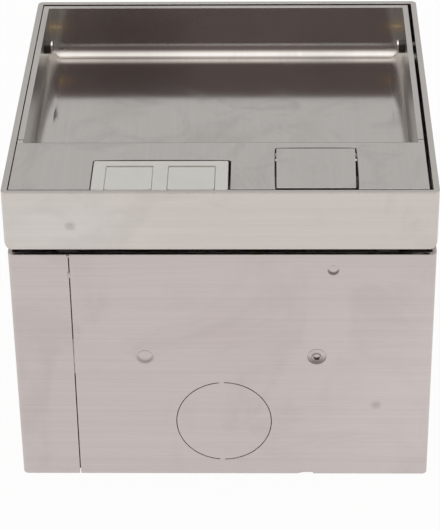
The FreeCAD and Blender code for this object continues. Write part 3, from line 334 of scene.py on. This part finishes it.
tack_steel = sheet_metal("tack_steel", (0.52, 0.49, 0.48), Lay=(900, 900, 1500), Contrast=0.12,
                         Roughness=0.34, Depth=0.3, Smudge=0.1, Smudge_Scale=400.0,
                         Edge_Radius=0.0001, Edge_Gain=0.1)
seam_tacks = make_seam_tacks()
seam_tacks.data.materials.append(tack_steel)
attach(seam_tacks, "box")

# ---- Seam strap --------------------------------------------------------------------------------
# A flat strip behind the seam, spot welded to both sides of it. It was never brushed and is dull.
# Its dark colour is painted shade, so that the seam's narrow gap in front of it shows dark.

painted_shade_steel = sheet_metal("painted_shade_steel", (0.14, 0.13, 0.125), Lay=(300, 300, 600), Contrast=0.25,
                          Roughness=0.5, Depth=0.2, Smudge=0.3, Smudge_Scale=90.0,
                          Edge_Radius=0.0002, Edge_Gain=0.2)
dress(painted_shade_steel, "seam_strap")

# ---- Base pan, rails, carrier and tabs ---------------------------------------------------------
# Folded from zinc-coated sheet, which shows the frosty leaves of the zinc and is greyer where
# it has been handled. They are welded or riveted to the box and carry the sockets.


def make_zinc_sheet():
    """Leaves of zinc that differ in tone and gloss, and a stripe of painted shade behind the foot
    of the seam.
    """
    leaves_per_metre = 260.0
    darkest_leaf, palest_leaf = 0.92, 1.04
    dullest_leaf, glossiest_leaf = 1.12, 0.92
    # A stripe of painted shade on the zinc behind the foot of the seam.
    seam_foot = (seam_at, front + 0.002, 0.004)
    stripe_reach = (0.002, 0.004, 0.016)
    painted_shade_tone = (0.10, 0.085, 0.08, 1)
    material, tree, metal = new_material("zinc_sheet", Metallic=1.0)
    leaves = add(tree, "ShaderNodeTexVoronoi", None,
                 {"Vector": object_point(tree), "Scale": leaves_per_metre, "Randomness": 1.0})
    tone = add(tree, "ShaderNodeSeparateColor", None, {"Color": leaves.outputs["Color"]}).outputs[0]
    sheet = surface(tree, brushed_sheet, (0.60, 0.61, 0.62), Lay=(700, 700, 700), Contrast=0.06,
                    Roughness=0.34, Depth=0.08, Smudge=0.18, Smudge_Scale=45.0,
                    Edge_Radius=0.0003, Edge_Gain=0.25)
    frost = ease(tree, tone, 0.0, 1.0, darkest_leaf, palest_leaf)
    stripe = mask(tree, round_mark, {"Centre": seam_foot, "Radius": stripe_reach, "Softness": 0.4})
    shown = mix_colour(tree, stripe, scaled(tree, sheet["Colour"], frost), painted_shade_tone)
    rough = maths(tree, "MULTIPLY", sheet["Roughness"],
                  ease(tree, tone, 0.0, 1.0, dullest_leaf, glossiest_leaf))
    feed(tree, metal, shown, rough, sheet["Normal"])
    return material


zinc_sheet = make_zinc_sheet()
dress(zinc_sheet, "base_pan", "box_tabs", "front_rail", "rear_rail", "module_carrier", "divider")

# ---- Rivets ------------------------------------------------------------------------------------
# Low domed heads pulled up against the wall, which hold the rails. The right front one is a blind
# rivet with the hole of its pulled pin. Shade is painted along the underside of each head, and
# along the top and the bottom of the blind rivet's hole.

# Each of these crescents is painted shade.
rivet_painted_shade = [shade_crescent(rivet, radius=0.0036, lift=0.0016, softness=0.45, tint=(0.60, 0.56, 0.55))
               for rivet in (left_rivet, right_rivet)]
rivet_painted_shade += [
    shade_crescent(right_rivet, radius=0.0040, lift=0.0014, softness=0.25, tint=(0.50, 0.46, 0.45)),
    shade_crescent(right_rivet, radius=0.0024, lift=0.0007, softness=0.3, tint=(0.60, 0.56, 0.55)),
    shade_crescent(right_rivet, radius=0.0021, lift=-0.0009, softness=0.3, tint=(0.46, 0.43, 0.42)),
]
rivet_steel = sheet_metal("rivet_steel", (0.565, 0.53, 0.525), rivet_painted_shade, Lay=(400, 400, 400),
                          Contrast=0.05, Roughness=0.26, Depth=0.04, Smudge=0.05,
                          Smudge_Scale=200.0, Edge_Radius=0.0001, Edge_Gain=0.0)
dress(rivet_steel, "rail_rivets")

# ---- Screws, nuts, clips and pins --------------------------------------------------------------
# Small turned and pressed steel parts with a bright nickel plate, which has gone through on the
# edges that a driver or a spanner touches. The lid's hinge pins are plain dark steel.

nickel = sheet_metal("nickel_plate", (0.72, 0.70, 0.67), Lay=(1500, 1500, 1500), Contrast=0.07,
                     Roughness=0.18, Depth=0.06, Smudge=0.12, Smudge_Scale=300.0,
                     Edge_Radius=0.00015, Edge_Gain=-0.18)
dress(nickel, "level_nuts", "rail_nuts", "pan_head_screws", "level_screws", "hinge_clips",
      "flap_pins")
pin_steel = sheet_metal("pin_steel", (0.13, 0.12, 0.115), Lay=(900, 900, 900), Contrast=0.1,
                        Roughness=0.3, Depth=0.05, Smudge=0.2, Smudge_Scale=300.0,
                        Edge_Radius=0.00015, Edge_Gain=0.4)
dress(pin_steel, "hinge_pins")

# ---- Sockets -----------------------------------------------------------------------------------
# Two power sockets: a glossy white cover and shutter over a grey base. All three are moulded,
# with a faint grain from the tool. The contacts and the earth straps are bare brass.


def build_moulding():
    """Moulded plastic: a fine grain from the tool, slow changes of tone where it flowed, and
    corners that are made a little paler."""
    edge_radius = 0.0003
    edge_flat = 0.99
    dust_start, dust_full = 0.4, 0.7
    dust_dullness = 2.5
    grain_dullness = 0.05
    grain_height = 0.00005
    tree, given, result = new_group(
        "moulding",
        {"Colour": (0.6, 0.6, 0.6, 1), "Roughness": 0.3, "Grain": 3500.0, "Depth": 0.1,
         "Edge Gain": 0.05, "Dust": 0.03},
        {"Colour": "Color", "Roughness": "Float", "Normal": "Vector"})
    spot = object_point(tree)
    fine = noise(tree, spot, Scale=given["Grain"], Detail=2.0, Roughness=0.5)
    flow = noise(tree, spot, Scale=70.0, Detail=3.0, Distortion=0.8)
    softened, edge = edge_wear_and_highlight(tree, edge_radius, edge_flat, given["Edge Gain"])
    dust = maths(tree, "MULTIPLY", ease(tree, flow, dust_start, dust_full), given["Dust"])
    tone = maths(tree, "SUBTRACT", maths(tree, "ADD", 1.0, edge), dust)
    tree.links.new(scaled(tree, given["Colour"], tone), result["Colour"])
    dusty = maths(tree, "MULTIPLY_ADD", dust, dust_dullness, given["Roughness"])
    tree.links.new(maths(tree, "MULTIPLY_ADD", fine, grain_dullness, dusty), result["Roughness"])
    tree.links.new(relief(tree, given["Depth"], grain_height, fine, softened), result["Normal"])
    return tree


moulding = build_moulding()


def plastic(name, colour, constants=None, **values):
    material, tree, shader = new_material(name, **(constants or {}))
    skin = surface(tree, moulding, colour, **values)
    feed(tree, shader, skin["Colour"], skin["Roughness"], skin["Normal"])
    return material


white_depth = {"Subsurface_Weight": 0.6, "Subsurface_Radius": (1.0, 1.0, 0.9),
               "Subsurface_Scale": 0.0012}
white_plastic = plastic("white_plastic", (0.62, 0.625, 0.60), white_depth, Roughness=0.28,
                        Grain=3000.0, Depth=0.05, Edge_Gain=0.03, Dust=0.03)
shutter_plastic = plastic("shutter_plastic", (0.60, 0.60, 0.58), Roughness=0.42, Grain=2500.0,
                          Depth=0.1, Edge_Gain=0.04, Dust=0.06)
grey_plastic = plastic("grey_plastic", (0.30, 0.31, 0.32), Roughness=0.5, Grain=1800.0,
                       Depth=0.25, Edge_Gain=0.12, Dust=0.10)
dress(white_plastic, "socket_cover_left", "socket_cover_right")
dress(shutter_plastic, "socket_shutter_left", "socket_shutter_right")
dress(grey_plastic, "socket_base_left", "socket_base_right")
brass = sheet_metal("bare_brass", (0.76, 0.60, 0.30), Lay=(400, 400, 400), Contrast=0.08,
                    Roughness=0.3, Depth=0.06, Smudge=0.35, Smudge_Scale=120.0,
                    Edge_Radius=0.0002, Edge_Gain=0.2)
dress(brass, "socket_contacts_left", "socket_contacts_right", "socket_earth_left",
      "socket_earth_right")

# ---- Data outlets ------------------------------------------------------------------------------
# A cover like the sockets' own with two sprung dust flaps, over a grey base that holds two black
# jacks. All of it is moulded plastic.

black_plastic = plastic("black_plastic", (0.035, 0.035, 0.037), Roughness=0.42, Grain=2200.0,
                        Depth=0.2, Edge_Gain=0.35, Dust=0.12)
dress(white_plastic, "data_cover", "data_flap_front", "data_flap_rear")
dress(grey_plastic, "data_base")
dress(black_plastic, "data_jacks")

# ---- Earth stud --------------------------------------------------------------------------------
# A brass stud pressed into the base pan. Two brass nuts on washers, one on the pan and one above
# it, clamp the earth wires.

dress(brass, "earth_stud", "earth_nuts")

# ---- Collar ------------------------------------------------------------------------------------
# A heavier stainless frame, 2 mm thick, that slides on the box to bring the lid level with the
# floor. Its sides are brushed level, and a weld spot shows at the left of its front, under a broad
# patch of painted sheen. The guides, rests and bracket welded inside it are zinc-coated.

collar_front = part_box("collar")[0][1]
skirt_spot = (-0.0500, collar_front, 0.1037)
# A broad patch of painted sheen over the left of the front.
painted_sheen_patch = (-0.052, collar_front, 0.104)
collar_marks = [
    stain(skirt_spot, weld_spot_reach, softness=0.8, tint=(0.78, 0.78, 0.78)),
    stain(painted_sheen_patch, reach=(0.044, 0.01, 0.020), softness=1.0, tint=(1.05, 1.08, 1.10)),
]
collar_steel = sheet_metal("collar_steel", (0.60, 0.575, 0.555), collar_marks, Lay=(26, 26, 2600),
                           Contrast=0.06, Roughness=0.24, Depth=0.04, Smudge=0.05,
                           Smudge_Scale=30.0, Edge_Radius=0.0004, Edge_Gain=0.2)
dress(collar_steel, "collar")
dress(zinc_sheet, "guide_tongues", "lid_rests", "outlet_bracket")

# ---- Lid ---------------------------------------------------------------------------------------
# A tray folded from 2 mm stainless sheet to take a floor tile, with a strip along its front. Its
# inside is almost mirror bright, with wipe marks on the bed, painted shade over the left of the
# rear wall, a warm pale patch with a small bright streak at each rear corner, and thin lines of
# painted shade along the edges of the notch and the flap's hole. Its cheeks are duller.

lid_low, lid_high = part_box("lid_tray")
lid_sheet = 0.002
lid_middle = (lid_low[0] + lid_high[0]) / 2
lid_rear = lid_high[1]
bed_height = lid_low[2] + lid_sheet
strip_height = lid_high[2] - lid_sheet / 2
# Painted shade over the left part of the rear wall.
rear_wall_painted_shade = (-0.038, lid_rear, 0.106)
lid_marks = [stain(rear_wall_painted_shade, reach=(0.036, 0.012, 0.022), softness=1.0,
                   tint=(0.66, 0.65, 0.64))]

wipe_depth = 0.002
wipes = (((-0.004, -0.004), (0.030, 0.016), (0.95, 0.94, 0.92)),
         ((-0.040, 0.020), (0.014, 0.012), (0.94, 0.93, 0.91)),
         ((0.030, 0.006), (0.010, 0.020), (0.96, 0.95, 0.94)))
for middle, half_size, tint in wipes:
    lid_marks.append(stain((*middle, bed_height), (*half_size, wipe_depth), softness=1.0,
                           tint=tint))

# At each rear corner a warm, paler patch with a small bright streak on it.
corner_mark_inset = 0.0045
corner_mark_height = 0.1085
for side in (lid_low[0] + corner_mark_inset, lid_high[0] - corner_mark_inset):
    corner = (side, lid_rear, corner_mark_height)
    lid_marks.append(stain(corner, reach=(0.009, 0.012, 0.0045), softness=0.9,
                           tint=(1.35, 1.18, 0.92)))
    lid_marks.append(stain(corner, reach=(0.0035, 0.01, 0.0011), softness=0.7,
                           tint=(1.5, 1.4, 1.25)))

notch_rear = (-0.0199, -0.0507)
hole_left, hole_right, hole_rear = 0.0183, 0.0459, -0.0423
hole_middle = (hole_left + hole_right) / 2
hole_half_side = 0.0139
hole_side = hole_rear - hole_half_side
corner_overrun = 0.0007
hole_reach = hole_half_side + corner_overrun
# Thin lines of painted shade along the edges of the notch and of the flap's hole.
gap_shade_depth = 0.006
gap_shade_tint = (0.10, 0.09, 0.085)
gap_shade_lines = ((notch_rear, (0.0242, 0.00032), 0.08),
             ((hole_middle, hole_rear), (hole_reach, 0.0003), 0.15),
             ((hole_right, hole_side), (0.0003, hole_reach), 0.15),
             ((hole_left, hole_side), (0.00025, hole_reach), 0.15))
for middle, half_size, softness in gap_shade_lines:
    lid_marks.append(stain((*middle, strip_height), (*half_size, gap_shade_depth), softness, gap_shade_tint))

lid_steel = sheet_metal("lid_steel", (0.61, 0.59, 0.57), lid_marks, Lay=(800, 30, 30),
                        Contrast=0.045, Roughness=0.115, Depth=0.003, Smudge=0.09,
                        Smudge_Scale=34.0, Edge_Radius=0.0003, Edge_Gain=0.06)


def outward_from(tree, middle):
    """How far a point lies to the left or the right of an upright plane."""
    across = add(tree, "ShaderNodeSeparateXYZ", None, {0: object_point(tree)}).outputs["X"]
    return maths(tree, "ABSOLUTE", maths(tree, "SUBTRACT", across, middle))


def dull_the_cheeks(material):
    """The side walls and their bends were rubbed down after welding, so they are less bright."""
    bed_edge, cheek_face = 0.0625, 0.0665
    added_roughness = 0.2
    tree = material.node_tree
    roughness = tree.nodes["Principled BSDF"].inputs["Roughness"]
    polished = roughness.links[0].from_socket
    rubbed = ease(tree, outward_from(tree, lid_middle), bed_edge, cheek_face)
    tree.links.new(maths(tree, "MULTIPLY_ADD", rubbed, added_roughness, polished), roughness)


dull_the_cheeks(lid_steel)
dress(lid_steel, "lid_tray")

# ---- Lid bushes and buffers --------------------------------------------------------------------
# Sleeves of hard brown-black plastic pressed into the lid's cheeks, each with a bright steel ring
# on its outer end. They turn on the hinge pins. Two rubber buffers on the rests take the lid.

bush_low, bush_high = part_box("lid_bushes")
bush_middle = (bush_low[0] + bush_high[0]) / 2
ring_width = 0.0012
ring_blend = 0.0001
ring_start = (bush_high[0] - bush_low[0]) / 2 - ring_width


def make_bush():
    ring_tone = (0.80, 0.76, 0.72, 1)
    material, tree, shader = new_material("lid_bush")
    sleeve = surface(tree, moulding, (0.028, 0.019, 0.015), Roughness=0.16, Grain=2500.0,
                     Depth=0.04, Edge_Gain=0.5, Dust=0.05)
    ring = ease(tree, outward_from(tree, bush_middle), ring_start - ring_blend, ring_start)
    shown = mix_colour(tree, ring, sleeve["Colour"], ring_tone)
    tree.links.new(ring, shader.inputs["Metallic"])
    feed(tree, shader, shown, sleeve["Roughness"], sleeve["Normal"])
    return material


dress(make_bush(), "lid_bushes")
rubber = plastic("rubber", (0.045, 0.045, 0.045), Roughness=0.7, Grain=2600.0, Depth=0.4,
                 Edge_Gain=0.2, Dust=0.2)
dress(rubber, "lid_buffers")

# ---- Outlet insert -----------------------------------------------------------------------------
# A white moulding clipped in a notch of the lid's strip, with two small doors that lift to let the
# cords out.

dress(white_plastic, "outlet_insert", "outlet_door_left", "outlet_door_right")

# ---- Cord flap ---------------------------------------------------------------------------------
# A piece of the same sheet as the lid, cut to fit the hole in its strip. It turns on two short
# pins and rests on two small plates welded under the strip, which share the seam strap's steel,
# whose dark colour is painted shade.

dress(lid_steel, "cord_flap")
dress(painted_shade_steel, "flap_stops")

# ---- Studio floor ------------------------------------------------------------------------------
# A wide matt white floor. Seen directly or mirrored in the metal it is as pale as the backdrop,
# and it keeps the soft shadow under the box.


def make_floor():
    half_side = 6.0
    matt_tone = (0.86, 0.86, 0.86, 1)
    mirrored_tone = (1.0, 0.955, 0.93, 1)
    seen_tone = (1, 1, 1, 1)
    glow_share = 0.95
    mesh = bpy.data.meshes.new("studio_floor")
    shape = bmesh.new()
    bmesh.ops.create_grid(shape, x_segments=1, y_segments=1, size=half_side)
    shape.to_mesh(mesh)
    shape.free()
    floor = bpy.data.objects.new("studio_floor", mesh)
    bpy.context.scene.collection.objects.link(floor)
    material = bpy.data.materials.new("studio_white")
    material.use_nodes = True
    tree = material.node_tree
    tree.nodes.clear()
    matt = add(tree, "ShaderNodeBsdfDiffuse", None, {"Color": matt_tone})
    path = add(tree, "ShaderNodeLightPath").outputs
    pale = mix_colour(tree, path["Is Camera Ray"], mirrored_tone, seen_tone)
    glow = add(tree, "ShaderNodeEmission", None, {"Color": pale, "Strength": 1.0})
    mirrored = maths(tree, "MAXIMUM", path["Is Glossy Ray"], path["Is Transmission Ray"])
    seen = maths(tree, "MAXIMUM", mirrored, path["Is Camera Ray"])
    share = maths(tree, "MULTIPLY", seen, glow_share)
    mix = add(tree, "ShaderNodeMixShader", None,
              {0: share, 1: matt.outputs[0], 2: glow.outputs[0]})
    add(tree, "ShaderNodeOutputMaterial", None, {"Surface": mix.outputs[0]})
    mesh.materials.append(material)


make_floor()

# ---- Studio light ------------------------------------------------------------------------------
# A tent of white cloth lit from above. It is bright overhead, softer behind the box, and dark in
# the opening at the front where the light doesn't reach. The light's strength is by the angle
# over the front horizon, in degrees.

tent = [(0, (0.90, 0.87, 0.85)), (3, (0.75, 0.71, 0.69)), (9, (0.18, 0.15, 0.148)),
        (36, (0.195, 0.16, 0.158)), (48, (0.46, 0.42, 0.40)), (60, (1.08, 1.03, 0.98)),
        (90, (1.18, 1.15, 1.12)), (115, (1.00, 0.98, 0.96)), (132, (0.68, 0.665, 0.655)),
        (180, (0.64, 0.63, 0.62))]
half_turn = 180
brightest = 1.3
side_start, side_full = 0.5, 0.95
side_tone = (0.55, 0.545, 0.54, 1)
world = bpy.data.worlds.new("studio_tent")
bpy.context.scene.world = world
world.use_nodes = True
sky = world.node_tree
sky.nodes.clear()
towards = add(sky, "ShaderNodeSeparateXYZ", None,
              {0: add(sky, "ShaderNodeTexCoord").outputs["Generated"]}).outputs
angle = maths(sky, "ARCTAN2", towards["Z"], maths(sky, "MULTIPLY", towards["Y"], -1.0))
turned = maths(sky, "DIVIDE", angle, math.pi)
ramp = add(sky, "ShaderNodeValToRGB", None, {"Fac": turned})
stops = ramp.color_ramp.elements
while len(stops) < len(tent):
    stops.new(0.5)
# The stops are all moved before any is coloured, because moving one can change their order.
for stop, (degrees, _) in zip(stops, tent):
    stop.position = degrees / half_turn
for stop, (_, colour) in zip(stops, tent):
    stop.color = (*(part / brightest for part in colour), 1)
ramp.color_ramp.interpolation = "EASE"
sideways = maths(sky, "ABSOLUTE", towards["X"])
even = mix_colour(sky, ease(sky, sideways, side_start, side_full), ramp.outputs[0], side_tone)
light = add(sky, "ShaderNodeBackground", None, {"Color": even, "Strength": brightest})
white = add(sky, "ShaderNodeBackground", None, {"Color": (1, 1, 1, 1), "Strength": 1.0})
camera_ray = add(sky, "ShaderNodeLightPath").outputs["Is Camera Ray"]
mix = add(sky, "ShaderNodeMixShader", None,
          {0: camera_ray, 1: light.outputs[0], 2: white.outputs[0]})
add(sky, "ShaderNodeOutputWorld", None, {"Surface": mix.outputs[0]})

lamp_side = 0.9
lamp_power = 1.0
lamp_height = 1.3
lamp_data = bpy.data.lights.new("overhead_softbox", "AREA")
lamp_data.shape = "SQUARE"
lamp_data.size = lamp_side
lamp_data.energy = lamp_power
lamp = bpy.data.objects.new("overhead_softbox", lamp_data)
lamp.location = (0, 0, lamp_height)
bpy.context.scene.collection.objects.link(lamp)

# ---- Camera ------------------------------------------------------------------------------------
# A long lens looks down at the front of the box from a little to its right. It stands far enough
# off that the upright edges hardly draw together.

lens_length = 149.68
film_width = 36
near_clip = 0.01
camera_place = (0.01655, -0.69748, 0.48456)
heading, downward, roll = (math.radians(part) for part in (1.537, 32.361, -0.836))
camera_data = bpy.data.cameras.new("camera")
camera_data.lens = lens_length
camera_data.sensor_width = film_width
camera_data.clip_start = near_clip
camera = bpy.data.objects.new("camera", camera_data)
turn = Matrix.Rotation(heading, 4, "Z") @ Matrix.Rotation(math.pi / 2 - downward, 4, "X")
camera.matrix_world = Matrix.Translation(camera_place) @ turn @ Matrix.Rotation(roll, 4, "Z")
bpy.context.scene.collection.objects.link(camera)
bpy.context.scene.camera = camera

bpy.context.scene.view_settings.view_transform = "Standard"
